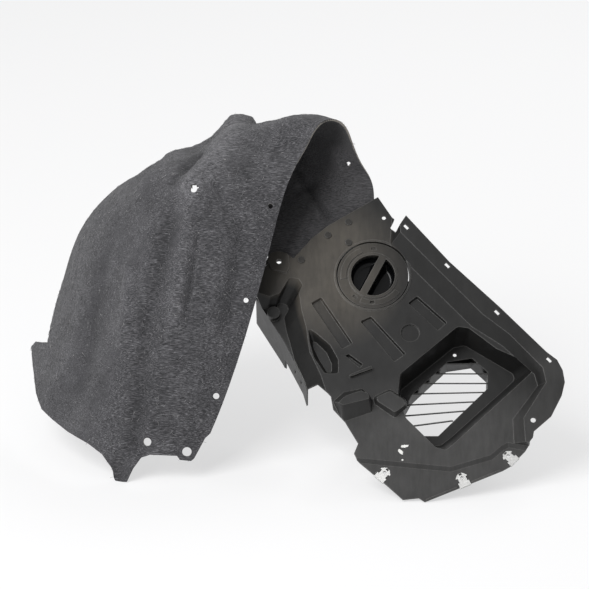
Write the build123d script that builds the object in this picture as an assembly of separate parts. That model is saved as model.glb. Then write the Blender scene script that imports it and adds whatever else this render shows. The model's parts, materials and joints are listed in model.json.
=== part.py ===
from build123d import *
import math
import os

# Wheel arch liner, resting as it stands free on a floor: a moulded felt arch
# (rear leg and crown) joined to a moulded plastic front panel.
# X runs along the open side, Y runs inboard, Z is up and the floor is Z = 0.

# Sheet thicknesses and fits, mm
felt_t = 4.0
felt_across = 10
wall_t = 2.5
lap_gap = 3.3
run_gap = 0.6

# Stance of the plastic panel: it leans back from its lower lip
panel_slope = 47.0
panel_foot = (0, -91.8, 4.92)
lean = math.radians(panel_slope)
panel = Plane(panel_foot, x_dir=(1, 0, 0), z_dir=(0, -math.sin(lean), math.cos(lean)))

# Plane in which the free edges of the felt are trimmed
trim_tilt = math.radians(20)
trim = Plane((0, 0, 0), x_dir=(1, 0, 0), z_dir=(0, -math.cos(trim_tilt), math.sin(trim_tilt)))

# Panel heights above and below its main face
flange_h = 20.0
pad_depth = 6.0
disc_depth = 3.0
block_h = 24.0
lobe_h = 12.0
tear_depth = 16.0
slot_depth = 8.0
land_drop = 6.0
duct_depth = 60.0
collar_depth = 45.0
side_fall = 28.0
side_wall_depth = 115.0

# Leg behind the panel
leg_x = 150.0
leg_reach = (215, 330)
leg_toe = 206.0
leg_foot = 56.0

# Access cover
cover_at = (136, 415)
seat_r = 63.5
seat_depth = 6.0
seat_lip = 3.5
hole_r = 56.0
cover_r = seat_r - 2.0
cup_r = 43.0
moon_r = 38.0
moon_depth = 23.0
bar_w = 13.0
bar_turn = -27.0
lug_r = 61.5
lug_span = 30.0
lug_turn = 40.0
lug_count = 3

# Seam between felt and plastic, in the panel face: outboard end, middle, inboard end
seam = [(146, 564), (58, 509), (-44, 448)]
seam_lap = [(14, -28), (14, -30), (24, -38)]
rivet_r = 2.4
rivet_head_r = 6.0
seam_rivets = [(94, 516), (58, 491), (12, 444)]
plug_turn = 124.1
plug_gap = 1.9
plug_reach = seat_r + seat_lip + rivet_head_r + plug_gap
plug_at = (cover_at[0] + plug_reach * math.cos(math.radians(plug_turn)),
           cover_at[1] + plug_reach * math.sin(math.radians(plug_turn)))

# Spring nuts on the lower lip: edge point in the panel face and inward direction in degrees
nut_len = 24.0
nut_w = 20.0
nut_taper = 6.0
nut_t = 0.9
nut_gap = 0.15
spring_nut_at = {"left": (142.8, 41.8, 48.4), "middle": (289.2, 29.6, 112.7), "right": (373.9, 72.5, 136.1)}

# Louvre slats: middle of the front edge, half length and droop of each slat
slat_t = 1.8
slat_depth = 24.0
slats = [(296, 274, 44, 0), (288, 255, 52, 0), (278, 237, 60, 0), (267, 219, 66, 1.4),
         (255, 200, 62, 3), (238, 181, 52, 5), (231, 162, 34, 8)]

# Felt arch stations: outboard rim, shoulder line, inboard edge
arch = [
    [(-174, 5, 21), (-302, -5, -23), (-478, 372, -40)],
    [(-124, 45, 125), (-269, 35, 138), (-492, 378, 75)],
    [(-66, 105, 294), (-247, 90, 300), (-425, 362, 205)],
    [(-39, 150, 387), (-221, 140, 405), (-388, 385, 312)],
    [(-9, 195, 481), (-185, 200, 483), (-303, 420, 404)],
    [(20, 232, 530), (-121, 280, 518), (-205, 450, 446)],
    [(61, 268, 573), (-17, 365, 537), (-60, 452, 500)],
    [(102, 300, 514), (36, 345, 462), (-58, 380, 432)],
]

# Pressed relief of the felt: path in station and width, height, half width in mm
relief = [
    ([(0.0, 0.5), (2.0, 0.5), (4.2, 0.52)], -6.0, 15.0),
    ([(1.85, 0.34), (2.75, 0.43), (3.75, 0.44)], 7.0, 17.0),
    ([(3.75, 0.44), (4.6, 0.6), (5.6, 0.8)], 8.0, 16.0),
    ([(1.4, 0.62), (2.5, 0.66)], 4.0, 14.0),
    ([(6.6, 0.12), (7.1, 0.4)], -6.0, 15.0),
    ([(4.35, 0.66), (4.75, 0.72)], -8.0, 13.0),
    ([(5.3, 0.62), (5.5, 1.0)], -14.0, 24.0),
    ([(6.0, 0.85), (6.0, 1.0)], 18.0, 16.0),
    ([(6.5, 0.4), (6.5, 1.0)], -6.0, 26.0),
]

# Punched holes of the felt: a point near the sheet, direction, diameter
felt_holes = [((-172, 168, 469), (-0.2, -0.8, 0.55), 10), ((-41, 178, 438), (0, -0.9, 0.44), 8.5),
              ((-83, 105, 294), (0, -0.95, 0.32), 8.5), ((-134, 46, 141), (0, -0.95, 0.32), 10.5),
              ((-184, 8, 53), (0, -0.96, 0.28), 16), ((-252, 12, 70), (-0.2, -0.94, 0.28), 14),
              ((99, 300, 474), (0.3, -0.94, 0.1), 8), ((-455, 352, 107), (-0.6, -0.75, 0.2), 7)]

# Lower free edge of the felt in the trim plane, from the outboard rim round to the inboard edge
felt_edge = [(620, 141), (-121, 141), (-141, 87), (-153, 76), (-172, 41), (-177, 37), (-196, 39),
             (-201, 46), (-247, 48), (-262, 43), (-276, 24), (-287, 1), (-306, 1), (-313, 24),
             (-330, 48), (-355, 66), (-393, 85), (-421, 104), (-443, 122), (-455, 148), (-462, 182),
             (-473, 228), (-464, 237), (-437, 237), (-433, 269), (-425, 312), (-406, 380),
             (-392, 430), (-700, 430), (-700, 1200), (620, 1200)]


def flat(points, z=0.0, radius=0.0):
    face = make_face(Polyline(*points, close=True))
    if radius > 0:
        face = fillet(face.vertices(), radius)
    return Pos(0, 0, z) * face


def prism(points, z0, z1, radius=0.0):
    return extrude(flat(points, z0, radius), z1 - z0)


def frustum(points0, z0, points1, z1, grow=0.0, radius=0.0):
    faces = []
    for points, z in ((points0, z0), (points1, z1)):
        face = make_face(Polyline(*points, close=True))
        if grow != 0:
            face = offset(face, grow, kind=Kind.INTERSECTION)
        if radius > 0:
            face = fillet(face.vertices(), radius)
        faces.append(Pos(0, 0, z) * face)
    return loft(faces, ruled=True)


# Shallow pocket with drafted walls, pushed back by t
def pocket(points, depth, t, draft=2.0, radius=2.5):
    face = make_face(Polyline(*points, close=True))
    rings = []
    for z, grow in ((-t, t * 0.8), (-depth - t, t * 0.8 - draft)):
        ring = offset(face, grow, kind=Kind.INTERSECTION) if grow != 0 else face
        rings.append(Pos(0, 0, z) * fillet(ring.vertices(), radius))
    return loft(rings, ruled=True)


def rod(x, y, radius, z0, z1):
    return Pos(x, y, (z0 + z1) / 2) * Cylinder(radius, abs(z1 - z0))


def sector(x, y, radius, middle, span, z0, z1):
    rays = [(radius * 1.6 * math.cos(math.radians(a)), radius * 1.6 * math.sin(math.radians(a)))
            for a in (middle - span / 2, middle, middle + span / 2)]
    wedge = Pos(x, y, 0) * prism([(0, 0)] + rays, z0, z1)
    return wedge & rod(x, y, radius, z0, z1)


# Panel outline, clockwise from the inboard ear
panel_edge = [(-48, 444), (-42, 456), (-30, 460), (-12, 455), (-2, 447), (29, 484), (58, 509),
              (109, 541), (146, 564), (174, 519), (167, 505), (176, 492), (194, 520), (268, 432),
              (353, 347), (431, 264), (449, 249), (458, 230), (461, 208), (455, 184), (436, 146),
              (406, 119), (404, 108), (391, 91), (365, 64), (353, 57), (220, 1), (210, 8), (183, 5),
              (155, 31.5), (106, 75), (101, 86), (108, 104), (86, 143), (66, 166), (62, 190), (40, 216), (20, 214), (14, 234),
              (-21, 307), (-68, 384), (-66, 415)]
crease = [(184, 488), (323, 334), (368, 297), (424, 235), (429, 208), (389, 143), (391, 100)]
valley = [(166, 470), (306, 318), (356, 284), (411, 230), (416, 209), (372, 148), (373, 104)]
outside = [(640, 60), (640, 700), (184, 700)]
duct_rim = [(181, 231), (281, 319), (300, 316), (348, 277), (404, 250), (408, 236), (275, 108),
            (257, 92), (240, 97), (190, 150), (176, 190)]
duct_floor = [(184, 225), (276, 304), (296, 308), (310, 299), (377, 256), (382, 244), (268, 136),
              (250, 122), (236, 122), (194, 160), (180, 196)]
louvre = [(265, 277), (203, 216), (184, 180), (185, 166), (218, 140), (247, 140), (333, 227),
          (334, 258), (308, 284)]
land_edge = [(60, 88), (108, 78), (194, 69), (264, 62), (332, 83), (350, 99), (362, 106), (420, 94),
             (420, -80), (60, -80)]
land_floor = [(60, 80), (110, 71), (194, 62), (265, 55), (336, 77), (354, 93), (364, 99), (420, 87),
              (420, -80), (60, -80)]
fall_rim = [(-70, 385), (-42, 375), (-25, 382), (-8, 412), (8, 408), (14, 397), (8, 382), (12, 352),
            (20, 318), (26, 272), (45, 229), (60, 180), (-80, 180), (-120, 385)]
fall_floor = [(-75, 372), (-46, 362), (-34, 360), (-28, 374), (-14, 372), (-10, 362), (-18, 346),
              (-14, 322), (-8, 300), (0, 268), (18, 228), (30, 180), (-80, 180), (-120, 372)]
tear_rim = [(23, 317), (37, 307), (61, 285), (75, 258), (75, 232), (52, 232), (33, 262), (26, 290)]
tear_floor = [(30, 300), (38, 295), (55, 277), (64, 256), (64, 240), (56, 240), (42, 264), (33, 285)]
block_foot = [(66, 180), (82, 143), (132, 161), (134, 183), (116, 204), (84, 197)]
block_top = [(73, 169), (82, 165), (128, 177), (125, 186), (113, 191), (88, 182)]
lobe_foot = [(134, 188), (163, 203), (190, 184), (193, 170), (171, 150), (138, 175)]
lobe_top = [(139, 184), (163, 195), (186, 179), (188, 169), (171, 156), (142, 176)]
rib_line = [(93, 223), (95, 228), (131, 244), (134, 239)]
slot_line = [(87, 265), (93, 268), (117, 249), (112, 242)]
pads = [[(28.5, 363), (46, 374), (100, 288), (82, 277)], [(113, 329), (132, 338), (191, 268), (171, 253)],
        [(196, 363), (212, 376), (263, 326), (247, 311)]]
hem_at = (220, 1)
hem_turn = 22.7
hem_runs = [(4, 60), (88, 140)]
boss_at = (199, 307)
boss_r = 16.0
side_boss_at = (-36, 352)
flange_slots = [(194, 498), (264, 425), (348, 337), (435, 249)]
flange_hole_at = (405, 139)
flange_hole_r = 4.5
ear_hole_at = (-27, 440)
tab_hole_at = (156, 524)


# Free space in front of the moulding, pushed back by a depth t
def air(t):
    space = Pos(200, 300, 100 - t / 2) * Box(1000, 1000, 200 + t)
    space -= frustum(valley + outside, -t, crease + outside, flange_h - t, -t)
    space -= frustum(lobe_foot, -t, lobe_top, lobe_h - t, -t, 0 if t else 5)
    space -= frustum(block_foot, -t, block_top, block_h - t, -t, 0 if t else 3)
    space += frustum(duct_rim, -t, duct_floor, -duct_depth - t, t * 0.8, 11 + t)
    space += frustum(fall_rim, -t, fall_floor, -side_fall - t, t * 0.8, 5)
    space += frustum(tear_rim, -t, tear_floor, -tear_depth - t, t * 0.6, 3)
    space += frustum(land_edge, -t, land_floor, -land_drop - t)
    for pad in pads:
        space += pocket(pad, pad_depth, t)
    space += pocket(slot_line, slot_depth, t, 1.0, 1.5)
    space += rod(*boss_at, boss_r + t, -disc_depth - t, 5)
    space += rod(*cover_at, seat_r + t, -seat_depth - t, 5)
    return space


# Rib, side boss, seat lip, ear pad and hem runs that stand on the front face
def raised():
    marks = [prism(rib_line, -1, 6, 1.5), rod(*side_boss_at, 11, -side_fall - 1, -side_fall + 12)]
    marks.append(rod(*cover_at, seat_r + seat_lip, -1, 1.5) - rod(*cover_at, seat_r, -2, 3))
    marks.append(prism([(-48, 444), (-42, 456), (-30, 460), (-12, 455), (-8, 430), (-14, 418), (-40, 426)],
                       -1, 3.0, 3))
    for start, end in hem_runs:
        run = Pos((start + end) / 2, 1.8, -land_drop + 0.5) * Box(end - start, 3, 3)
        marks.append(Pos(*hem_at, 0) * Rot(0, 0, hem_turn) * run)
    return marks


# Collar and slats behind the louvre opening
def louvre_set():
    collar = prism(louvre, -duct_depth - wall_t - collar_depth, -duct_depth)
    ring = extrude(Pos(0, 0, -duct_depth - wall_t - collar_depth)
                   * offset(make_face(Polyline(*louvre, close=True)), wall_t, kind=Kind.INTERSECTION),
                   collar_depth + 1)
    blades = []
    for x, y, half, droop in slats:
        blade = Rot(0, 0, droop) * (Rot(-67, 0, 0) * Box(2 * half + 16, slat_depth, slat_t))
        blade = Pos(x, y + 4, -duct_depth - 10) * blade
        blades.append(blade & prism(louvre, -duct_depth - 40, -duct_depth + 6))
    return ring - collar, collar, blades


# Side wall that turns back from the inboard edge, with two slots
def side_wall():
    line = [(-67, 384), (-21, 307), (15, 234), (21, 212)]
    band = line + [(x + wall_t, y + wall_t * 0.5) for x, y in reversed(line)]
    wall = prism(band, -side_fall - side_wall_depth, -side_fall)
    wall -= prism([(-80, 330), (60, 262), (60, 150), (-80, 150)], -side_fall - side_wall_depth - 1,
                  -side_fall - 75)
    for y in (262, 242):
        wall -= Pos(2, y, -side_fall - 40) * Box(60, 5, 14)
    return wall


# Hidden leg under the panel, reaching the floor
def back_leg():
    side = Plane((leg_x, 0, 0), x_dir=(0, 1, 0), z_dir=(1, 0, 0))
    tops = [panel.from_local_coords(Vector(leg_x, d, -wall_t / 2)) for d in leg_reach]
    corners = [(p.Y, p.Z) for p in tops] + [(leg_toe + leg_foot, 0), (leg_toe, 0)]
    leg = side * extrude(make_face(Polyline(*corners, close=True)), 3.0)
    foot = Pos(leg_x + 1.5, leg_toe + leg_foot / 2, 1.5) * Box(22, leg_foot, 3)
    return leg + foot


def front_panel():
    shell = air(wall_t) - air(0)
    ring, through, blades = louvre_set()
    shell = shell & prism(panel_edge, -130, 60)
    for mark in raised():
        shell += mark
    shell -= prism(louvre, -duct_depth - wall_t - 1, -duct_depth + 1)
    shell += ring
    for blade in blades:
        shell += blade
    shell += side_wall()
    shell -= rod(*cover_at, hole_r, -seat_depth - wall_t - 1, 1)
    for k in range(lug_count):
        shell -= sector(*cover_at, lug_r + run_gap * 2, 90 + lug_turn + 120 * k, lug_span + 6,
                        -seat_depth - wall_t - 1, -seat_depth + 0.1)
    for x, y in flange_slots:
        shell -= Pos(x, y, flange_h) * Rot(0, 0, -47) * Box(10, 5, 20)
    shell -= rod(*flange_hole_at, flange_hole_r, flange_h - 10, flange_h + 5)
    shell -= rod(*ear_hole_at, 4.5, -10, 10)
    shell -= rod(*tab_hole_at, 3.5, -10, 10)
    shell -= rod(278, 290, 3.2, -duct_depth - 10, -duct_depth + 8)
    for x, y in seam_rivets + [plug_at]:
        shell -= rod(x, y, rivet_r + 0.1, -10, 10)
    for x, y, turn in spring_nut_at.values():
        spot = Pos(x, y, 0) * Rot(0, 0, turn) * Pos(15, 0, 0)
        shell -= spot * Cylinder(3.6, 60)
    return panel.location * shell + back_leg()


def access_cover():
    x, y = cover_at
    top = -1.0
    under = -seat_depth + run_gap
    body = rod(x, y, cover_r, under, top)
    body += rod(x, y, hole_r - run_gap, -seat_depth - wall_t - 5, under + 0.1)
    body -= rod(x, y, hole_r - run_gap - 2.5, -seat_depth - wall_t - 6, under - 0.1)
    body += rod(x, y, cup_r, -moon_depth - 5, under + 0.1)
    moons = rod(x, y, moon_r, -moon_depth - 2, 5)
    moons -= Pos(x, y, 0) * Rot(0, 0, bar_turn) * Box(bar_w, 3 * moon_r, 80)
    floors = moons.faces().sort_by(Axis.Z)[:2]
    moons = fillet(floors[0].edges() + floors[1].edges(), 9)
    body += rod(x, y, cup_r, top - 1, top + 1.4)
    body -= moons
    for start, span in ((150, 75), (-75, 80)):
        arc = sector(x, y, 56, start, span, top - 1, top + 1.6) - rod(x, y, 46, top - 2, top + 3)
        body += arc
    for angle in (88, 232, -92):
        body -= Pos(x, y, 0) * Rot(0, 0, angle) * Pos(51, 0, top) * Box(5, 8, 4)
    for k in range(lug_count):
        lug = sector(x, y, lug_r, 90 + 120 * k, lug_span, -seat_depth - wall_t - 5,
                     -seat_depth - wall_t - 0.9)
        body += lug - rod(x, y, hole_r - 2, -60, 5)
    return panel.location * body


# Push rivet: flat head on the face, shank and spread tail
def rivet(x, y, grip):
    body = rod(x, y, rivet_head_r, 0.15, 2.0) + rod(x, y, rivet_r, -grip - 1.6, 1)
    body += rod(x, y, rivet_head_r - 1.5, -grip - 1.8, -grip - 0.2)
    return panel.location * body


def seam_rivet_set():
    grip = wall_t + lap_gap + felt_t + 0.6
    heads = [rivet(x, y, grip) for x, y in seam_rivets]
    heads.append(rivet(*plug_at, wall_t + 0.2))
    return Compound(children=[solid for head in heads for solid in head.solids()])


# Folded sheet-metal nut pushed over the lower lip
def spring_nut(x, y, turn):
    z_top = -land_drop + nut_gap
    z_low = -land_drop - wall_t - nut_gap
    half, tip = nut_w / 2, nut_len - nut_taper
    plate = prism([(0, -half), (tip, -half), (nut_len, nut_taper - half), (nut_len, half - nut_taper),
                   (tip, half), (0, half)], -nut_t / 2, nut_t / 2)
    waist = Pos(nut_len / 2, half, 0) * Box(8, 6, 5) + Pos(nut_len / 2, -half, 0) * Box(8, 6, 5)
    plate = plate - waist - Pos(15, 0, 0) * Cylinder(3.0, 5) - Pos(22, 0, 0) * Box(3, 5, 5)
    nut = Pos(0, 0, z_top + nut_t / 2) * plate + Pos(0, 0, z_low - nut_t / 2) * plate
    height = z_top - z_low + 2 * nut_t
    bend = Pos(-nut_t / 2 - nut_gap, 0, (z_top + z_low) / 2) * Box(nut_t, nut_w, height)
    lip = Pos(-nut_gap / 2, 0, 0) * Box(nut_gap + 0.2, nut_w, nut_t)
    nut += bend + Pos(0, 0, z_top + nut_t / 2) * lip + Pos(0, 0, z_low - nut_t / 2) * lip
    return panel.location * (Pos(x, y, 0) * Rot(0, 0, turn) * nut)


def path_distance(u, v, path):
    best = 1e9
    for (u0, v0), (u1, v1) in zip(path, path[1:]):
        ax, ay, bx, by = u0 * 100, v0 * 400, u1 * 100, v1 * 400
        px, py = u * 100 - ax, v * 400 - ay
        dx, dy = bx - ax, by - ay
        s = max(0.0, min(1.0, (px * dx + py * dy) / (dx * dx + dy * dy)))
        best = min(best, math.hypot(px - s * dx, py - s * dy))
    return best


# Pressed depth of the felt at station u and width v
def pressed(u, v):
    return sum(height * math.exp(-(path_distance(u, v, path) / half) ** 2)
               for path, height, half in relief)


def felt_rails():
    back = -(wall_t + lap_gap + felt_t)
    rows = [[Vector(*p) for p in row] for row in arch]
    rows.append([panel.from_local_coords(Vector(x, y, back)) for x, y in seam])
    rows.append([panel.from_local_coords(Vector(x + dx, y + dy, back))
                 for (x, y), (dx, dy) in zip(seam, seam_lap)])
    return [Spline(*[row[i] for row in rows]) for i in range(3)], len(rows) - 1


def felt_grid():
    rails, last = felt_rails()
    along = 2 * last
    plain = []
    for i in range(along + 1):
        section = Spline(*[rail @ (i / along) for rail in rails])
        plain.append([section @ (j / felt_across) for j in range(felt_across + 1)])
    outer, inner = [], []
    for i, row in enumerate(plain):
        top, low = [], []
        for j, p in enumerate(row):
            du = plain[min(i + 1, along)][j] - plain[max(i - 1, 0)][j]
            dv = row[min(j + 1, felt_across)] - row[max(j - 1, 0)]
            normal = du.cross(dv).normalized()
            top.append(p + normal * pressed(last * i / along, j / felt_across))
            low.append(top[-1] - normal * felt_t)
        outer.append(top)
        inner.append(low)
    return outer, inner


def felt_sheet():
    outer, inner = felt_grid()
    wires = []
    for top, low in zip(outer, inner):
        wires.append(Wire([Spline(*top), Line(top[-1], low[-1]), Spline(*reversed(low)), Line(low[0], top[0])]))
    caps = [Face.make_surface_from_curves(Spline(*outer[k]), Spline(*inner[k])) for k in (0, -1)]
    return Solid(Shell(list(Shell.make_loft(wires).faces()) + caps))


def felt_liner():
    sheet = felt_sheet()
    keep = trim * extrude(make_face(Polyline(*felt_edge, close=True)), 900, both=True)
    sheet = sheet & keep
    sheet -= Pos(0, 0, -100) * Box(2000, 2000, 200)
    for point, direction, diameter in felt_holes:
        sheet -= Plane(point, z_dir=direction) * Cylinder(diameter / 2, 60)
    for x, y in seam_rivets:
        sheet -= panel.location * rod(x, y, rivet_r + 0.1, -30, 5)
    sheet -= panel.location * rod(*ear_hole_at, 6, -30, 5)
    return sheet


def main():
    os.makedirs("parts", exist_ok=True)
    pieces = {"felt_liner": felt_liner(), "front_panel": front_panel(), "access_cover": access_cover(),
              "seam_rivets": seam_rivet_set()}
    for name, spot in spring_nut_at.items():
        pieces["spring_nut_" + name] = spring_nut(*spot)
    points = [p for shape in pieces.values() for p in shape.tessellate(0.1, 0.2)[0]]
    low = [min(getattr(p, k) for p in points) for k in "XYZ"]
    high = [max(getattr(p, k) for p in points) for k in "XYZ"]
    shift = Pos(-(low[0] + high[0]) / 2, -(low[1] + high[1]) / 2, -low[2])
    print("shift", shift.position, "low", low, "high", high)
    for name, shape in pieces.items():
        export_step(shift * shape, f"parts/{name}.step")


main()
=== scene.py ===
import bpy
import bmesh
import json
import math
import numpy as np
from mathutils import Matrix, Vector, noise as meshNoise
from mathutils.bvhtree import BVHTree


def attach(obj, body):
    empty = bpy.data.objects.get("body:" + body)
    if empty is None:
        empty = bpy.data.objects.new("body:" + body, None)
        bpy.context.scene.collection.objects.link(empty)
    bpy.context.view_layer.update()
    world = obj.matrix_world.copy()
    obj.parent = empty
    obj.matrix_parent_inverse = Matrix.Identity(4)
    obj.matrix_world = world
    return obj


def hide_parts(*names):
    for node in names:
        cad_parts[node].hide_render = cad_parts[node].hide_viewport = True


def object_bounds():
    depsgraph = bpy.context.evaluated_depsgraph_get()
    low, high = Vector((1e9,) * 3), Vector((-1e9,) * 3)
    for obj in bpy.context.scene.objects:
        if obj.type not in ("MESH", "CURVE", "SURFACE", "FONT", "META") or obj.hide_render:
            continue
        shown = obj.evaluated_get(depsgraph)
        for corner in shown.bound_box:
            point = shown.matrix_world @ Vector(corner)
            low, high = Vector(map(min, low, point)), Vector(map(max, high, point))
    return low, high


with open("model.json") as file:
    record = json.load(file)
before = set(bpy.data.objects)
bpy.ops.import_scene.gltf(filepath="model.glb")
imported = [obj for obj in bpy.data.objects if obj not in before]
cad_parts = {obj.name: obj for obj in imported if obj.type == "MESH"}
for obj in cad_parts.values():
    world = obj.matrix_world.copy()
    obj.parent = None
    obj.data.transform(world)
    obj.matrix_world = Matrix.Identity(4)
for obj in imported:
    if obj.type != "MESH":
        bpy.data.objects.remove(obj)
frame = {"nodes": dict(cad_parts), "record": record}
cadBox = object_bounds()
nodes = frame["nodes"]
print("stage: frame loaded,", len(nodes), "nodes")

# The plastic panel leans back. Its flange hole in the record gives the foot of its face, in metres
panelFace = {
    "slope": math.radians(47),
    "flangeHole": (0.405, 0.139, 0.01875),
}
panelUp = Vector((0, math.cos(panelFace["slope"]), math.sin(panelFace["slope"])))
panelOut = Vector((0, -math.sin(panelFace["slope"]), math.cos(panelFace["slope"])))
holeMount = [m for m in frame["record"]["mounts"] if m["name"] == "flange_hole"][0]
holeX, holeY, holeZ = panelFace["flangeHole"]
panelFoot = Vector(holeMount["pos_m"]) - Vector((holeX, 0, 0)) - panelUp * holeY - panelOut * holeZ

# The photo's camera, placed from the panel's foot
cameraSpec = {
    "aim": Vector((0, 0.2418, 0.28308)),
    "elevation": math.radians(20),
    "distance": 6.0,
    "photoSize": 589,
    "focalPixels": 3480.0,
    "sensor": 36.0,
    "farClip": 60.0,
}
cameraTarget = panelFoot + cameraSpec["aim"]
cameraAhead = Vector((0, math.cos(cameraSpec["elevation"]), -math.sin(cameraSpec["elevation"])))
cameraUp = Vector((0, math.sin(cameraSpec["elevation"]), math.cos(cameraSpec["elevation"])))
cameraPlace = cameraTarget - cameraAhead * cameraSpec["distance"]


def photoPixels(points):
    away = points - np.array(cameraPlace)
    depth = away @ np.array(cameraAhead)
    middle = cameraSpec["photoSize"] / 2
    across = middle + cameraSpec["focalPixels"] * away[:, 0] / depth
    down = middle - cameraSpec["focalPixels"] * (away @ np.array(cameraUp)) / depth
    return np.stack([across, down], axis=1)


# Shader helpers. In the looks below, a noise is scale, detail and roughness,
# a bump is strength and height, and a list of places and levels is a ramp
def newMaterial(name):
    mat = bpy.data.materials.new(name)
    mat.use_nodes = True
    tree = mat.node_tree
    tree.nodes.clear()
    out = tree.nodes.new("ShaderNodeOutputMaterial")
    shader = tree.nodes.new("ShaderNodeBsdfPrincipled")
    tree.links.new(shader.outputs["BSDF"], out.inputs["Surface"])
    return mat, tree, shader


def mapped(tree, scale=(1, 1, 1), turn=(0, 0, 0), place=(0, 0, 0), source=None, kind="POINT"):
    mapping = tree.nodes.new("ShaderNodeMapping")
    mapping.vector_type = kind
    mapping.inputs["Scale"].default_value = scale
    mapping.inputs["Rotation"].default_value = turn
    mapping.inputs["Location"].default_value = place
    if source is None:
        source = tree.nodes.new("ShaderNodeTexCoord").outputs["Object"]
    tree.links.new(source, mapping.inputs["Vector"])
    return mapping.outputs["Vector"]


def onPanelFace(tree):
    foot = Vector((panelFoot.x, panelUp.dot(panelFoot), panelOut.dot(panelFoot)))
    return mapped(tree, turn=(-panelFace["slope"], 0, 0), place=-foot)


def noise(tree, vector, scale, detail, rough):
    node = tree.nodes.new("ShaderNodeTexNoise")
    node.inputs["Scale"].default_value = scale
    node.inputs["Detail"].default_value = detail
    node.inputs["Roughness"].default_value = rough
    tree.links.new(vector, node.inputs["Vector"])
    return node.outputs["Fac"]


def ramp(tree, value, stops):
    node = tree.nodes.new("ShaderNodeValToRGB")
    band = node.color_ramp
    while len(band.elements) < len(stops):
        band.elements.new(0.5)
    for element, (place, level) in zip(band.elements, stops):
        element.position = place
        colour = level if isinstance(level, tuple) else (level, level, level)
        element.color = (*colour, 1)
    tree.links.new(value, node.inputs["Fac"])
    return node.outputs["Color"]


def feed(tree, socket, value):
    if hasattr(value, "links"):
        tree.links.new(value, socket)
    elif isinstance(value, tuple):
        socket.default_value = (*value, 1)
    else:
        socket.default_value = value


def mixColour(tree, factor, low, high):
    node = tree.nodes.new("ShaderNodeMix")
    node.data_type = "RGBA"
    for name, value in (("Factor", factor), ("A", low), ("B", high)):
        feed(tree, [s for s in node.inputs if s.name == name and s.enabled][0], value)
    return [s for s in node.outputs if s.enabled][0]


def maths(tree, operation, first, second=None):
    node = tree.nodes.new("ShaderNodeMath")
    node.operation = operation
    feed(tree, node.inputs[0], first)
    if second is not None:
        feed(tree, node.inputs[1], second)
    return node.outputs[0]


def centred(tree, value, middle, gain):
    return maths(tree, "MULTIPLY", maths(tree, "SUBTRACT", value, middle), gain)


def vectorMaths(tree, operation, *vectors):
    node = tree.nodes.new("ShaderNodeVectorMath")
    node.operation = operation
    for vector, socket in zip(vectors, node.inputs):
        tree.links.new(vector, socket)
    return node.outputs["Value"]


def axisValue(tree, vector, axis):
    node = tree.nodes.new("ShaderNodeSeparateXYZ")
    tree.links.new(vector, node.inputs["Vector"])
    return node.outputs[axis]


def surfaceNormal(tree):
    return tree.nodes.new("ShaderNodeNewGeometry").outputs["Normal"]


def bump(tree, height, strength, distance, normal=None):
    node = tree.nodes.new("ShaderNodeBump")
    node.inputs["Strength"].default_value = strength
    node.inputs["Distance"].default_value = distance
    tree.links.new(height, node.inputs["Height"])
    if normal is not None:
        tree.links.new(normal, node.inputs["Normal"])
    return node.outputs["Normal"]


def roundedEdges(tree, radius, samples=6):
    node = tree.nodes.new("ShaderNodeBevel")
    node.samples = samples
    node.inputs["Radius"].default_value = radius
    return node.outputs["Normal"]


def attribute(tree, name):
    node = tree.nodes.new("ShaderNodeAttribute")
    node.attribute_name = name
    return node.outputs["Fac"]


# Object and mesh helpers
meshSpec = {
    "mergeDistance": 1e-5,
    "passes": 4,
}


def addObject(name, data):
    obj = bpy.data.objects.new(name, data)
    bpy.context.scene.collection.objects.link(obj)
    return obj


def dress(obj, mat):
    obj.data.materials.clear()
    obj.data.materials.append(mat)


def vertexPoints(mesh):
    points = np.empty(len(mesh.vertices) * 3)
    mesh.vertices.foreach_get("co", points)
    return points.reshape(-1, 3)


# Nothing goes below the floor
def setPoints(mesh, points):
    points[:, 2] = np.maximum(points[:, 2], cadBox[0][2])
    mesh.vertices.foreach_set("co", points.ravel())
    mesh.update()


# A merged copy of a CAD mesh, subdivided where an edge is too long
def finerMesh(name, source, longestEdge=None):
    work = bmesh.new()
    work.from_mesh(source)
    bmesh.ops.remove_doubles(work, verts=work.verts, dist=meshSpec["mergeDistance"])
    for _ in range(meshSpec["passes"] if longestEdge else 0):
        longEdges = [e for e in work.edges if e.calc_length() > longestEdge]
        if not longEdges:
            break
        bmesh.ops.subdivide_edges(work, edges=longEdges, cuts=1)
        bmesh.ops.triangulate(work, faces=[f for f in work.faces if len(f.verts) > 3])
    work.verts.index_update()
    points = [tuple(vertex.co) for vertex in work.verts]
    faces = np.array([[vertex.index for vertex in face.verts] for face in work.faces])
    work.free()
    # Subdividing leaves the triangles in no fixed order, and the fibres' scatter follows that order
    lowest = faces.argmin(axis=1)[:, None]
    faces = np.take_along_axis(faces, (lowest + np.arange(3)) % 3, axis=1)
    faces = faces[np.lexsort(faces.T[::-1])]
    mesh = bpy.data.meshes.new(name)
    mesh.from_pydata(points, [], faces.tolist())
    mesh.validate()
    return mesh


def smoothPiece(mesh, sharpAngle):
    for polygon in mesh.polygons:
        polygon.use_smooth = True
    mesh.set_sharp_from_angle(angle=sharpAngle)
    return addObject(mesh.name, mesh)


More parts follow.
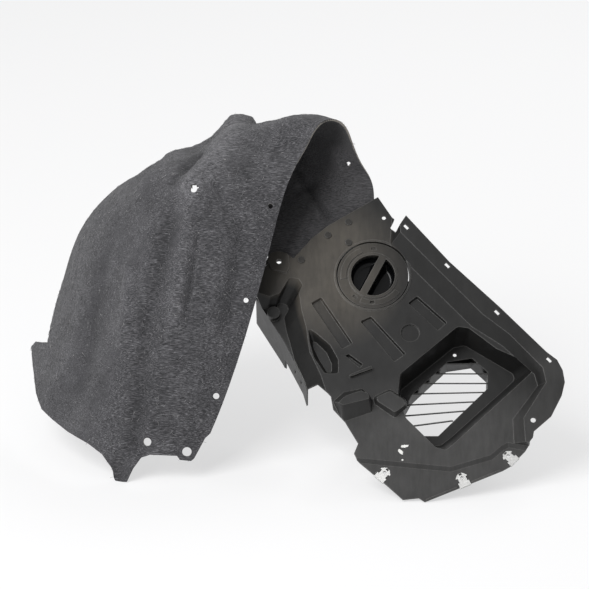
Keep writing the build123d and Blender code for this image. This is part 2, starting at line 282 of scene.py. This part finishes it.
# Needled felt: grey fibres that lie across the arch, an inner face darkened with painted shade and
# a pale cut edge
feltLook = {
    "outer": [
        (0.40, (0.020, 0.020, 0.0215)),
        (0.54, (0.054, 0.0535, 0.0575)),
        (0.72, (0.200, 0.197, 0.208)),
    ],
    # Darker colours for the inner face: painted shade inside the arch
    "inner": [
        (0.38, (0.018, 0.018, 0.019)),
        (0.70, (0.090, 0.088, 0.092)),
    ],
    "cut": (0.22, 0.205, 0.185),
    "strandNoise": (6.0, 4.0, 0.62),
    "fibre": (15, 135, 135),
    "fibreTilt": 0.10,
    "crossFibre": (20, 150, 150),
    "crossFibreTilt": -0.45,
    "crossDrop": 0.03,
    "sideways": [(0.45, 0.0), (0.75, 1.0)],
    "cloudNoise": (22.0, 4.0, 0.6),
    "cloudMiddle": 0.56,
    "cloudGain": 0.16,
    # Pressed ridges are painted lighter and grooves darker: painted highlight and shade on the
    # relief
    "reliefShadeGain": 0.05,
    "bump": (0.7, 0.0014),
    "shader": {
        "Roughness": 0.95,
        "Specular IOR Level": 0.15,
        "Sheen Weight": 0.08,
        "Sheen Roughness": 0.6,
    },
}


def feltMaterial():
    look = feltLook
    mat, tree, shader = newMaterial("needledFelt")
    ways = []
    for axes in ((0, 1, 2), (1, 0, 2)):  # strands along the front, strands round the side
        layers = []
        for kind in ("fibre", "crossFibre"):
            scale = [look[kind][axis] for axis in axes]
            turn = [look[kind + "Tilt"] if axis == axes[1] else 0 for axis in range(3)]
            layers.append(noise(tree, mapped(tree, scale, turn), *look["strandNoise"]))
        crossed = maths(tree, "SUBTRACT", layers[1], look["crossDrop"])
        ways.append(maths(tree, "MAXIMUM", layers[0], crossed))
    sideways = maths(tree, "ABSOLUTE", axisValue(tree, surfaceNormal(tree), "X"))
    both = mixColour(tree, ramp(tree, sideways, look["sideways"]), *ways)
    clouds = noise(tree, mapped(tree), *look["cloudNoise"])
    shift = centred(tree, clouds, look["cloudMiddle"], look["cloudGain"])
    # Painted highlight and shade: lighter on the pressed ridges, darker in the grooves
    reliefShading = maths(tree, "MULTIPLY", attribute(tree, "pressed"), look["reliefShadeGain"])
    mixed = maths(tree, "ADD", maths(tree, "ADD", both, shift), reliefShading)
    outer, inner = ramp(tree, mixed, look["outer"]), ramp(tree, mixed, look["inner"])
    # Inner faces take the darker colours, the painted shade inside the arch
    colour = mixColour(tree, attribute(tree, "innerFace"), outer, inner)
    colour = mixColour(tree, attribute(tree, "cutEdge"), colour, look["cut"])
    tree.links.new(colour, shader.inputs["Base Color"])
    tree.links.new(bump(tree, mixed, *look["bump"]), shader.inputs["Normal"])
    for name, value in look["shader"].items():
        shader.inputs[name].default_value = value
    return mat


# Felt arch: a finer skin over the CAD sheet, with the pressed shapes the photo shows.
# Strokes are paths in photo pixels, half width in pixels and height in metres
feltPiece = {
    "longestEdge": 0.0065,
    "sharpAngle": math.radians(50),
    "sheet": 0.004,
    "cutSheets": 2.0,
    "rayStart": 0.0002,
    "rayReach": 0.05,
    "openPixel": (120, 350),
    "openFacing": -0.4,
    "smoothWalk": 0.87,
    "leastNormal": 1e-12,
    "ripple": 0.0007,
    "rippleScale": 26.0,
    "holePixels": [(194, 191)],
    "holeStill": 6.0,
    "holeBlend": 6.0,
    "facingGain": 4.0,
    # Relief height at which the painted highlight and shade are full
    "fullReliefShadeHeight": 0.008,
    "strokes": [
        ([(183, 167), (197, 153)], 5.5, -0.013),
        ([(172, 184), (212, 138)], 3.0, -0.004),
        ([(196, 184), (214, 158), (238, 124)], 12.0, 0.009),
        ([(193, 187), (197, 197)], 12.0, 0.006),
        ([(217, 187), (226, 210)], 4.0, -0.004),
        ([(189, 214), (182, 260), (173, 322)], 9.0, 0.006),
        ([(198, 238), (186, 316)], 2.6, -0.004),
        ([(172, 218), (157, 280), (147, 335), (140, 400), (134, 445)], 8.0, -0.006),
        ([(243, 232), (237, 275), (226, 330)], 8.0, -0.004),
        ([(280, 150), (300, 143)], 7.0, -0.005),
        ([(128, 268), (121, 345)], 5.0, 0.005),
        ([(108, 250), (92, 330), (84, 385)], 8.0, -0.005),
        ([(255, 150), (247, 175)], 9.0, -0.004),
        ([(122, 462), (118, 478)], 6.0, -0.004),
    ],
    "innerStrokes": [
        ([(294, 170), (328, 218)], 3.5, 0.007),
        ([(296, 192), (312, 184)], 4.0, 0.004),
        ([(333, 150), (352, 196)], 8.0, -0.005),
    ],
    "crownAcross": (220, 274),
    "crownTop": 117.5,
    "crownShare": 0.8,
}


def strokeDistance(pixels, path):
    best = np.full(len(pixels), np.inf)
    for start, end in zip(path, path[1:]):
        start, run = np.array(start, float), np.array(end, float) - np.array(start, float)
        along = np.clip(((pixels - start) @ run) / (run @ run), 0, 1)
        best = np.minimum(best, np.linalg.norm(pixels - start - along[:, None] * run, axis=1))
    return best


# A face is on the cut edge if what lies behind it is thicker than the felt.
# The outer face is all that a smooth walk reaches from a place in the open
def sortFelt(mesh):
    spec = feltPiece
    work = bmesh.new()
    work.from_mesh(mesh)
    work.faces.ensure_lookup_table()
    tree = BVHTree.FromBMesh(work)
    middles = np.array([face.calc_center_median() for face in work.faces])
    cut = np.zeros(len(middles))
    for face in work.faces:
        start = Vector(middles[face.index]) - face.normal * spec["rayStart"]
        hit = tree.ray_cast(start, -face.normal, spec["rayReach"])
        cut[face.index] = hit[0] is None or hit[3] > spec["cutSheets"] * spec["sheet"]
    facing = np.array([face.normal.dot(cameraAhead) for face in work.faces])
    inOpen = (facing < spec["openFacing"]) & (cut == 0)
    away = np.linalg.norm(photoPixels(middles) - np.array(spec["openPixel"]), axis=1)
    first = work.faces[int(np.argmin(np.where(inOpen, away, np.inf)))]
    outer = np.zeros(len(middles))
    outer[first.index] = 1
    queue = [first]
    while queue:
        face = queue.pop()
        for other in (f for edge in face.edges for f in edge.link_faces):
            passed = outer[other.index] or cut[other.index]
            if not passed and face.normal.dot(other.normal) > spec["smoothWalk"]:
                outer[other.index] = 1
                queue.append(other)
    work.free()
    return outer, cut


def outwardNormals(mesh, outer, cut):
    corners = np.array([tuple(p.vertices) for p in mesh.polygons])
    weighted = np.array([p.normal * p.area for p in mesh.polygons])
    weighted *= np.where(cut == 1, 0.0, np.where(outer == 1, 1.0, -1.0))[:, None]
    total = np.zeros((len(mesh.vertices), 3))
    for column in range(3):
        np.add.at(total, corners[:, column], weighted)
    return total / np.maximum(np.linalg.norm(total, axis=1), feltPiece["leastNormal"])[:, None]


def pressFelt(mesh, outward):
    spec = feltPiece
    points = vertexPoints(mesh)
    outline = photoPixels(points)
    pixels = outline
    for hole in spec["holePixels"]:  # the felt round a hole moves as one, so the hole stays round
        away = pixels - np.array(hole)
        past = np.linalg.norm(away, axis=1) - spec["holeStill"]
        spread = np.clip(past / spec["holeBlend"], 0, 1)[:, None]
        pixels = np.where(spread < 1, np.array(hole) + away * spread, pixels)
    turned = outward @ np.array(cameraAhead)
    lift, pressed = np.zeros(len(points)), np.zeros(len(points))
    for strokes, side in ((spec["strokes"], -1), (spec["innerStrokes"], 1)):
        inView = np.clip(side * turned * spec["facingGain"], 0, 1)
        for path, half, height in strokes:
            raised = height * np.exp(-(strokeDistance(pixels, path) / half) ** 2) * inView
            lift += raised
            pressed -= side * raised
    for index, point in enumerate(points):
        lift[index] += spec["ripple"] * meshNoise.noise(Vector(point) * spec["rippleScale"])
    deepest, highest = round(lift.min() * 1000, 1), round(lift.max() * 1000, 1)
    print("stage: felt pressed from", deepest, "to", highest, "mm")
    points += outward * lift[:, None]
    left, right = spec["crownAcross"]
    inCrown = (outline[:, 0] > left) & (outline[:, 0] < right)
    over = np.clip(spec["crownTop"] - outline[:, 1], 0, None) * inCrown
    sunk = spec["crownShare"] * over  # pixels off the crown's top, which is flat
    points[:, 2] -= sunk * cameraSpec["distance"] / cameraSpec["focalPixels"]
    setPoints(mesh, points)
    # The pressed attribute holds painted highlight and shade: lighter on ridges, darker in grooves
    tone = np.clip(pressed / spec["fullReliefShadeHeight"], -1, 1)
    mesh.attributes.new("pressed", "FLOAT", "POINT").data.foreach_set("value", tone)


def feltArch():
    mesh = finerMesh("feltArch", nodes["felt_liner"].data, feltPiece["longestEdge"])
    outer, cut = sortFelt(mesh)
    pressFelt(mesh, outwardNormals(mesh, outer, cut))
    sides = {"outerFace": outer, "innerFace": (1 - outer) * (1 - cut), "cutEdge": cut}
    for name, values in sides.items():
        mesh.attributes.new(name, "FLOAT", "FACE").data.foreach_set("value", values)
    return smoothPiece(mesh, feltPiece["sharpAngle"])


felt = feltArch()
dress(felt, feltMaterial())
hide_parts("felt_liner")
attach(felt, "liner")
print("stage: felt arch,", len(felt.data.polygons), "faces")

# Loose fibres that lie on the felt's outer face.
# A strand arches off the felt: its points are shares of its length and its rise
fibrePiece = {
    "inputs": {
        "Fibre Length": 0.011,
        "Fibre Radius": 0.00022,
        "Fibre Rise": 0.0012,
        "Fibres Per Area": 9000.0,
        "Seed": 4,
    },
    "strand": {"Start": (-0.5, 0.0), "Middle": (0.1, 1.0), "End": (0.5, 0.15)},
    "segments": 3,
    "sides": 3,
    "sizes": (0.4, 1.3),
    "toneNoise": (160.0, 3.0, 0.6),
    "tones": [
        (0.35, (0.045, 0.045, 0.048)),
        (0.58, (0.16, 0.158, 0.165)),
        (0.74, (0.50, 0.49, 0.48)),
    ],
    "rough": [(0.3, 0.9), (0.7, 0.7)],
}


def randomValue(tree, dataType, socketType, low, high):
    node = tree.nodes.new("FunctionNodeRandomValue")
    node.data_type = dataType
    for name, level in (("Min", low), ("Max", high)):
        socket = [s for s in node.inputs if s.name == name and s.type == socketType][0]
        socket.default_value = level
    return [s for s in node.outputs if s.type == socketType and s.enabled][0]


def fibreTree(mat):
    spec = fibrePiece
    tree = bpy.data.node_groups.new("looseFibres", "GeometryNodeTree")
    make, link, addSocket = tree.nodes.new, tree.links.new, tree.interface.new_socket
    addSocket("Geometry", in_out="INPUT", socket_type="NodeSocketGeometry")
    for name in spec["inputs"]:
        kind = "NodeSocketInt" if name == "Seed" else "NodeSocketFloat"
        addSocket(name, in_out="INPUT", socket_type=kind)
    addSocket("Geometry", in_out="OUTPUT", socket_type="NodeSocketGeometry")
    given, result = make("NodeGroupInput").outputs, make("NodeGroupOutput").inputs
    outerFace = make("GeometryNodeInputNamedAttribute")
    outerFace.data_type = "FLOAT"
    outerFace.inputs["Name"].default_value = "outerFace"
    scatter = make("GeometryNodeDistributePointsOnFaces")
    link(given["Geometry"], scatter.inputs["Mesh"])
    link(outerFace.outputs["Attribute"], scatter.inputs["Selection"])
    link(given["Fibres Per Area"], scatter.inputs["Density"])
    link(given["Seed"], scatter.inputs["Seed"])
    strand = make("GeometryNodeCurveQuadraticBezier")
    strand.inputs["Resolution"].default_value = spec["segments"]
    for name, (along, rise) in spec["strand"].items():
        point = make("ShaderNodeCombineXYZ")
        link(maths(tree, "MULTIPLY", given["Fibre Length"], along), point.inputs["X"])
        link(maths(tree, "MULTIPLY", given["Fibre Rise"], rise), point.inputs["Z"])
        link(point.outputs["Vector"], strand.inputs[name])
    ring = make("GeometryNodeCurvePrimitiveCircle")
    ring.inputs["Resolution"].default_value = spec["sides"]
    link(given["Fibre Radius"], ring.inputs["Radius"])
    tube = make("GeometryNodeCurveToMesh")
    tube.inputs["Fill Caps"].default_value = True
    link(strand.outputs["Curve"], tube.inputs["Curve"])
    link(ring.outputs["Curve"], tube.inputs["Profile Curve"])
    turn = randomValue(tree, "FLOAT_VECTOR", "VECTOR", (0, 0, 0), (0, 0, 2 * math.pi))
    size = randomValue(tree, "FLOAT", "VALUE", *spec["sizes"])
    placed = make("GeometryNodeInstanceOnPoints")
    link(scatter.outputs["Points"], placed.inputs["Points"])
    link(scatter.outputs["Rotation"], placed.inputs["Rotation"])
    link(tube.outputs["Mesh"], placed.inputs["Instance"])
    link(size, placed.inputs["Scale"])
    turned = make("GeometryNodeRotateInstances")
    link(placed.outputs["Instances"], turned.inputs["Instances"])
    link(turn, turned.inputs["Rotation"])
    real, coloured = make("GeometryNodeRealizeInstances"), make("GeometryNodeSetMaterial")
    coloured.inputs["Material"].default_value = mat
    link(turned.outputs["Instances"], real.inputs["Geometry"])
    link(real.outputs["Geometry"], coloured.inputs["Geometry"])
    link(coloured.outputs["Geometry"], result["Geometry"])
    return tree


def fibreMaterial():
    mat, tree, shader = newMaterial("looseFibre")
    tones = noise(tree, mapped(tree), *fibrePiece["toneNoise"])
    tree.links.new(ramp(tree, tones, fibrePiece["tones"]), shader.inputs["Base Color"])
    tree.links.new(ramp(tree, tones, fibrePiece["rough"]), shader.inputs["Roughness"])
    return mat


def feltFibres(base):
    mat = fibreMaterial()
    helper = addObject("fibreBase", base.data.copy())
    modifier = helper.modifiers.new("fibres", "NODES")
    modifier.node_group = fibreTree(mat)
    for item in modifier.node_group.interface.items_tree:
        if item.in_out == "INPUT" and item.name in fibrePiece["inputs"]:
            modifier[item.identifier] = fibrePiece["inputs"][item.name]
    evaluated = helper.evaluated_get(bpy.context.evaluated_depsgraph_get())
    mesh = bpy.data.meshes.new_from_object(evaluated)
    mesh.name = "feltFibres"
    setPoints(mesh, vertexPoints(mesh))
    bpy.data.objects.remove(helper)
    return addObject("feltFibres", mesh)


fibres = feltFibres(felt)
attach(fibres, "liner")
print("stage: loose fibres,", len(fibres.data.polygons), "faces")

# Front panel: a merged copy of the CAD shell. The stiffener behind it stays out of the middle pad.
# Places are on the panel's face, in metres
panelPiece = {
    "stiffenerSides": (0.150, 0.153),
    "stiffenerTop": -0.00125,
    "padReach": (0.250, 0.342),
    "padFloor": -0.006,
    "sideSlack": 0.0002,
    "levelSlack": 0.0003,
    "sharpAngle": math.radians(28),
}


def panelLocal(points):
    away = points - np.array(panelFoot)
    return away[:, 0], away @ np.array(panelUp), away @ np.array(panelOut)


def clearPad(mesh):
    spec = panelPiece
    points = vertexPoints(mesh)
    across, up, out = panelLocal(points)
    inPad = (up > spec["padReach"][0]) & (up < spec["padReach"][1])
    moved = 0
    for side in spec["stiffenerSides"]:
        onSide = inPad & (np.abs(across - side) < spec["sideSlack"])
        tops = np.where(onSide & (np.abs(out - spec["stiffenerTop"]) < spec["levelSlack"]))[0]
        feet = np.where(onSide & (np.abs(out - spec["padFloor"]) < spec["levelSlack"]))[0]
        for top in tops if len(feet) else []:
            points[top] = points[feet[np.argmin(np.abs(up[feet] - up[top]))]]
            moved += 1
    setPoints(mesh, points)
    return moved


def frontPanel():
    mesh = finerMesh("frontPanel", nodes["front_panel"].data)
    print("stage: front panel,", clearPad(mesh), "points of the stiffener laid down")
    return smoothPiece(mesh, panelPiece["sharpAngle"])


# Moulded plastic: finely grained, dusty in places, with a pale painted highlight along its edges.
# Dust is a colour with its middle and reach on the panel's face
plasticLook = {
    "dust": [
        ((0.069, 0.0616, 0.0513), (0.060, 0.425, 0), (0.140, 0.155, 0.012)),  # upper face
        ((0.046, 0.0454, 0.0448), (0.260, 0.085, 0), (0.330, 0.150, 0.050)),  # lower plate
        ((0.030, 0.0297, 0.0293), (0.450, 0.180, 0.019), (0.085, 0.130, 0.014)),  # flange's corner
    ],
    "dustFade": [(0.0, 0.0), (0.55, 1.0)],
    "cloudNoise": (11.0, 6.0, 0.65),
    "cloudShare": 0.6,
    "streakStretch": (34, 7, 7),
    "streakNoise": (4.0, 5.0, 0.6),
    "streakShare": 0.4,
    "patches": [(0.34, 0.45), (0.66, 1.0)],
    "mottle": [(0.3, 0.8), (0.7, 1.25)],
    "patchRough": 0.14,
    # Pale colour laid on the edges: a painted highlight
    "edgeHighlightColour": (0.20, 0.197, 0.19),
    "edgeHighlightShare": 0.42,
    "edgeHighlightRadius": 0.0024,
    "edgeHighlightTurn": [(0.004, 0.0), (0.10, 1.0)],
    # Dark colour for the recess floors: painted shade in the recesses
    "moonShade": (0.0025, 0.0026, 0.0030),
    "moonGloss": 0.26,
    "specular": 0.24,
    "edgeRadius": 0.0019,
    "waveNoise": (16.0, 2.0, 0.5),
    "waveBump": (0.4, 0.003),
    "grainNoise": (900.0, 3.0, 0.6),
    "grainBump": (0.12, 0.0004),
}
# Pale scuffs near the lip: place on the panel's face, length, width and turn
scuffLook = {
    "colour": (0.62, 0.62, 0.60),
    "marks": [
        (0.187, 0.099, 0.0085, 0.0028, 0.15),
        (0.180, 0.089, 0.0065, 0.0036, -0.9),
        (0.183, 0.074, 0.0022, 0.0016, 0.0),
    ],
    "depth": 0.05,
    "raggedNoise": (420.0, 3.0, 0.7),
    "raggedMiddle": 0.5,
    "raggedGain": 1.3,
    "least": 0.18,
}
# What is deeper than sunken is the glossy floor of the cover's two recesses, coloured darker as
# painted shade
plasticFinish = {
    "panel": {
        "name": "panelPlastic",
        "base": (0.0128, 0.0127, 0.0125),
        "gloss": 0.32,
        "dustShare": 1.0,
        "scuffed": True,
    },
    "cover": {
        "name": "coverPlastic",
        "base": (0.0100, 0.0098, 0.0095),
        "gloss": 0.32,
        "dustShare": 0.8,
        "sunken": -0.013,
    },
    "rivets": {
        "name": "rivetPlastic",
        "base": (0.010, 0.010, 0.010),
        "gloss": 0.30,
        "dustShare": 0.3,
    },
}
zincLook = {
    "spangleNoise": (260.0, 4.0, 0.6),
    "colour": [(0.3, (0.44, 0.44, 0.435)), (0.7, (0.60, 0.60, 0.59))],
    "rough": [(0.3, 0.48), (0.7, 0.40)],
    "edgeRadius": 0.0004,
}


# Nearness to a place: 1 at its middle, 0 where the scaled distance is 1
def nearPlace(tree, face, place, size, turn=0.0):
    spot = mapped(tree, size, (0, 0, turn), place, face, "TEXTURE")
    return maths(tree, "SUBTRACT", 1.0, vectorMaths(tree, "LENGTH", spot))


def scuffMask(tree, face):
    spec = scuffLook
    speckle = noise(tree, face, *spec["raggedNoise"])
    ragged = centred(tree, speckle, spec["raggedMiddle"], spec["raggedGain"])
    total = 0.0
    for x, y, length, width, turn in spec["marks"]:
        near = nearPlace(tree, face, (x, y, 0), (length, width, spec["depth"]), turn)
        inside = maths(tree, "GREATER_THAN", maths(tree, "ADD", near, ragged), spec["least"])
        total = maths(tree, "MAXIMUM", total, inside)
    return total


# How far the rounded edge turns away from the flat face, the mask of the painted edge highlight
def highlightEdgeTurn(tree):
    rounded = roundedEdges(tree, plasticLook["edgeHighlightRadius"])
    same = vectorMaths(tree, "DOT_PRODUCT", rounded, surfaceNormal(tree))
    return maths(tree, "SUBTRACT", 1.0, same)


def plasticMaterial(name, base, gloss, dustShare, scuffed=False, sunken=None):
    look = plasticLook
    mat, tree, shader = newMaterial(name)
    face = onPanelFace(tree)
    clouds = noise(tree, face, *look["cloudNoise"])
    stretched = mapped(tree, look["streakStretch"], source=face)
    streaks = noise(tree, stretched, *look["streakNoise"])
    cloudPart = maths(tree, "MULTIPLY", clouds, look["cloudShare"])
    streakPart = maths(tree, "MULTIPLY", streaks, look["streakShare"])
    blend = maths(tree, "ADD", cloudPart, streakPart)
    patchy = ramp(tree, blend, look["patches"])
    mottle = [(place, tuple(v * level for v in base)) for place, level in look["mottle"]]
    colour = ramp(tree, blend, mottle)
    for dust, place, size in look["dust"]:
        near = ramp(tree, nearPlace(tree, face, place, size), look["dustFade"])
        share = maths(tree, "MULTIPLY", maths(tree, "MULTIPLY", near, patchy), dustShare)
        colour = mixColour(tree, share, colour, dust)
    rough = maths(tree, "ADD", maths(tree, "MULTIPLY", patchy, look["patchRough"]), gloss)
    # Painted highlight along the edges, laid in the dusty patches
    edgeHighlight = ramp(tree, highlightEdgeTurn(tree), look["edgeHighlightTurn"])
    edgeHighlightShare = maths(tree, "MULTIPLY", patchy, look["edgeHighlightShare"])
    colour = mixColour(tree, maths(tree, "MULTIPLY", edgeHighlight, edgeHighlightShare), colour, look["edgeHighlightColour"])
    if scuffed:
        colour = mixColour(tree, scuffMask(tree, face), colour, scuffLook["colour"])
    # The recess floors take the dark colour, painted shade in the recesses, and a glossier finish
    if sunken:
        deep = maths(tree, "LESS_THAN", axisValue(tree, face, "Z"), sunken)
        colour = mixColour(tree, deep, colour, look["moonShade"])
        rough = maths(tree, "SUBTRACT", rough, maths(tree, "MULTIPLY", deep, look["moonGloss"]))
    tree.links.new(colour, shader.inputs["Base Color"])
    tree.links.new(rough, shader.inputs["Roughness"])
    shader.inputs["Specular IOR Level"].default_value = look["specular"]
    waves = noise(tree, face, *look["waveNoise"])
    grain = noise(tree, face, *look["grainNoise"])
    soft = bump(tree, waves, *look["waveBump"], roundedEdges(tree, look["edgeRadius"]))
    tree.links.new(bump(tree, grain, *look["grainBump"], soft), shader.inputs["Normal"])
    return mat


def zincMaterial():
    mat, tree, shader = newMaterial("zincPlate")
    spangle = noise(tree, mapped(tree), *zincLook["spangleNoise"])
    tree.links.new(ramp(tree, spangle, zincLook["colour"]), shader.inputs["Base Color"])
    tree.links.new(ramp(tree, spangle, zincLook["rough"]), shader.inputs["Roughness"])
    tree.links.new(roundedEdges(tree, zincLook["edgeRadius"]), shader.inputs["Normal"])
    shader.inputs["Metallic"].default_value = 1.0
    return mat


panel = frontPanel()
dress(panel, plasticMaterial(**plasticFinish["panel"]))
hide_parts("front_panel")
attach(panel, "liner")
dress(nodes["access_cover"], plasticMaterial(**plasticFinish["cover"]))
dress(nodes["seam_rivets"], plasticMaterial(**plasticFinish["rivets"]))
zinc = zincMaterial()
for name in ("spring_nut_left", "spring_nut_middle", "spring_nut_right"):
    dress(nodes[name], zinc)
print("stage: plastic and metal finishes set")

# Floor, light and camera. A lamp is its name, size, power, place and aim
stageSpec = {
    "floorHalf": 14.0,
    "floorColour": (0.74, 0.74, 0.745),
    "floorRough": 0.9,
    "floorSpecular": 0.1,
    "floorGlow": (0.965, 0.965, 0.968),
    "floorGlowShare": 0.60,
    "world": [(0.0, 0.50), (1.0, 0.54)],
    "lamps": [
        ("softbox", 3.2, 300.0, (-2.4, -2.8, 3.9), (0, 0, 0.2)),
        ("rimBox", 2.0, 70.0, (1.6, 3.0, 3.6), (0.1, 0, 0.25)),
    ],
}


def makeFloor():
    half = stageSpec["floorHalf"]
    corners = [(-half, -half, 0), (half, -half, 0), (half, half, 0), (-half, half, 0)]
    mesh = bpy.data.meshes.new("floor")
    mesh.from_pydata(corners, [], [(0, 1, 2, 3)])
    obj = addObject("floor", mesh)
    mat, tree, shader = newMaterial("paleFloor")
    shader.inputs["Base Color"].default_value = (*stageSpec["floorColour"], 1)
    shader.inputs["Roughness"].default_value = stageSpec["floorRough"]
    shader.inputs["Specular IOR Level"].default_value = stageSpec["floorSpecular"]
    glow = tree.nodes.new("ShaderNodeEmission")
    glow.inputs["Color"].default_value = (*stageSpec["floorGlow"], 1)
    path = tree.nodes.new("ShaderNodeLightPath")
    seen = maths(tree, "MAXIMUM", path.outputs["Is Camera Ray"], path.outputs["Is Glossy Ray"])
    mix = tree.nodes.new("ShaderNodeMixShader")
    tree.links.new(maths(tree, "MULTIPLY", seen, stageSpec["floorGlowShare"]), mix.inputs["Fac"])
    tree.links.new(shader.outputs["BSDF"], mix.inputs[1])
    tree.links.new(glow.outputs["Emission"], mix.inputs[2])
    out = [n for n in tree.nodes if n.type == "OUTPUT_MATERIAL"][0]
    tree.links.new(mix.outputs["Shader"], out.inputs["Surface"])
    dress(obj, mat)


def makeLight():
    world = bpy.data.worlds.new("studio")
    world.use_nodes = True
    tree = world.node_tree
    sky = tree.nodes["Background"]
    around = tree.nodes.new("ShaderNodeTexCoord").outputs["Generated"]
    levels = ramp(tree, axisValue(tree, around, "Z"), stageSpec["world"])
    tree.links.new(levels, sky.inputs["Color"])
    sky.inputs["Strength"].default_value = 1.0
    bpy.context.scene.world = world
    for name, size, power, place, aim in stageSpec["lamps"]:
        lamp = bpy.data.lights.new(name, "AREA")
        lamp.size = size
        lamp.energy = power
        obj = addObject(name, lamp)
        obj.location = place
        obj.rotation_euler = (Vector(aim) - obj.location).to_track_quat("-Z", "Y").to_euler()


def makeCamera():
    data = bpy.data.cameras.new("camera")
    data.sensor_width = cameraSpec["sensor"]
    data.lens = cameraSpec["focalPixels"] / cameraSpec["photoSize"] * cameraSpec["sensor"]
    data.clip_end = cameraSpec["farClip"]
    obj = addObject("camera", data)
    obj.location = cameraPlace
    obj.rotation_euler = (math.radians(90) - cameraSpec["elevation"], 0, 0)
    bpy.context.scene.camera = obj


makeFloor()
makeLight()
makeCamera()
bpy.context.scene.view_settings.view_transform = "Standard"
print("stage: floor, light and camera ready")
